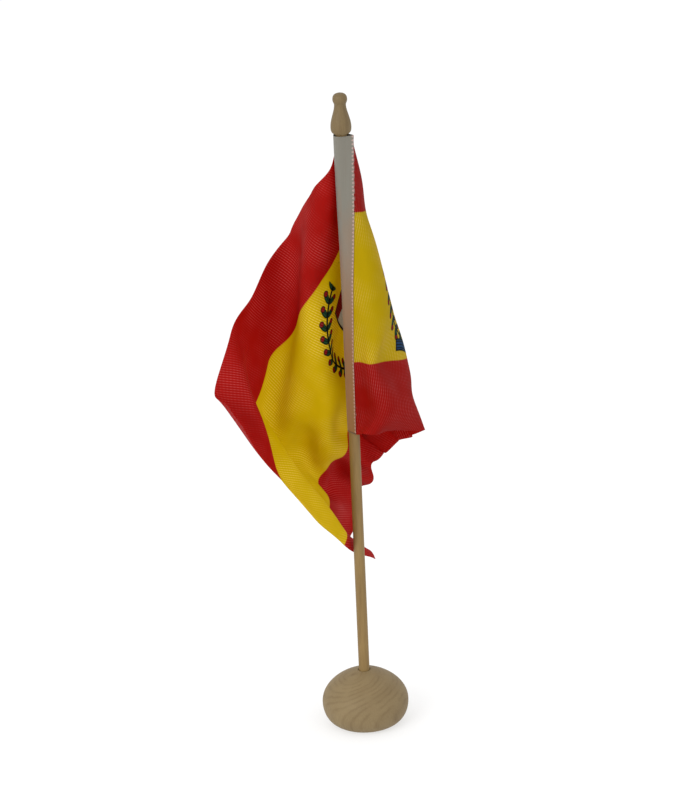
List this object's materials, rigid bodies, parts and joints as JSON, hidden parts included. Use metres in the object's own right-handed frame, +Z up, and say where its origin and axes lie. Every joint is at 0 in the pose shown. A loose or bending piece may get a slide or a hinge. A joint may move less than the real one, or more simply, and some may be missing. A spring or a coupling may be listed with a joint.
{
  "type": "desk flag stand",
  "caption": "Small printed cloth flag with a sewn hoist sleeve on a dowel staff, held upright in a turned wooden foot and closed by a turned finial.",
  "frame": {"origin": "centre of the foot's flat underside, on the axis of the staff", "axes": "+Z up along the staff, -Y towards the viewer who faces the sewn side of the sleeve, +X to that viewer's right"},
  "size_m": [0.0933, 0.0978, 0.305],
  "materials": {
    "foot_wood": "bare turned beech, sanded, matte",
    "staff_wood": "bare dowel, long straight grain, matte",
    "finial_wood": "bare turned beech, matte with a slight polish",
    "sleeve_satin": "thin white satin polyester, slightly translucent",
    "flag_cloth": "printed woven polyester, dull satin, bands and a plain badge",
    "thread": "white sewing thread"
  },
  "bodies": {
    "foot": {"foot": "foot_wood"},
    "staff": {"staff": "staff_wood"},
    "finial": {"finial": "finial_wood"},
    "flag": {"flag": "flag_cloth", "hoist_sleeve": "sleeve_satin", "seam_stitches": "thread"}
  },
  "joints": [
    {"name": "staff_lift", "type": "slide", "parent": "foot", "child": "staff", "axis": [0, 0, 1], "range_m": [0, 0.03]},
    {"name": "flag_turn", "type": "hinge", "parent": "staff", "child": "flag", "pos_m": [0, 0, 0.216], "axis": [0, 0, 1], "continuous": true},
    {"name": "finial_pull", "type": "slide", "parent": "staff", "child": "finial", "axis": [0, 0, 1], "range_m": [0, 0.02]}
  ]
}
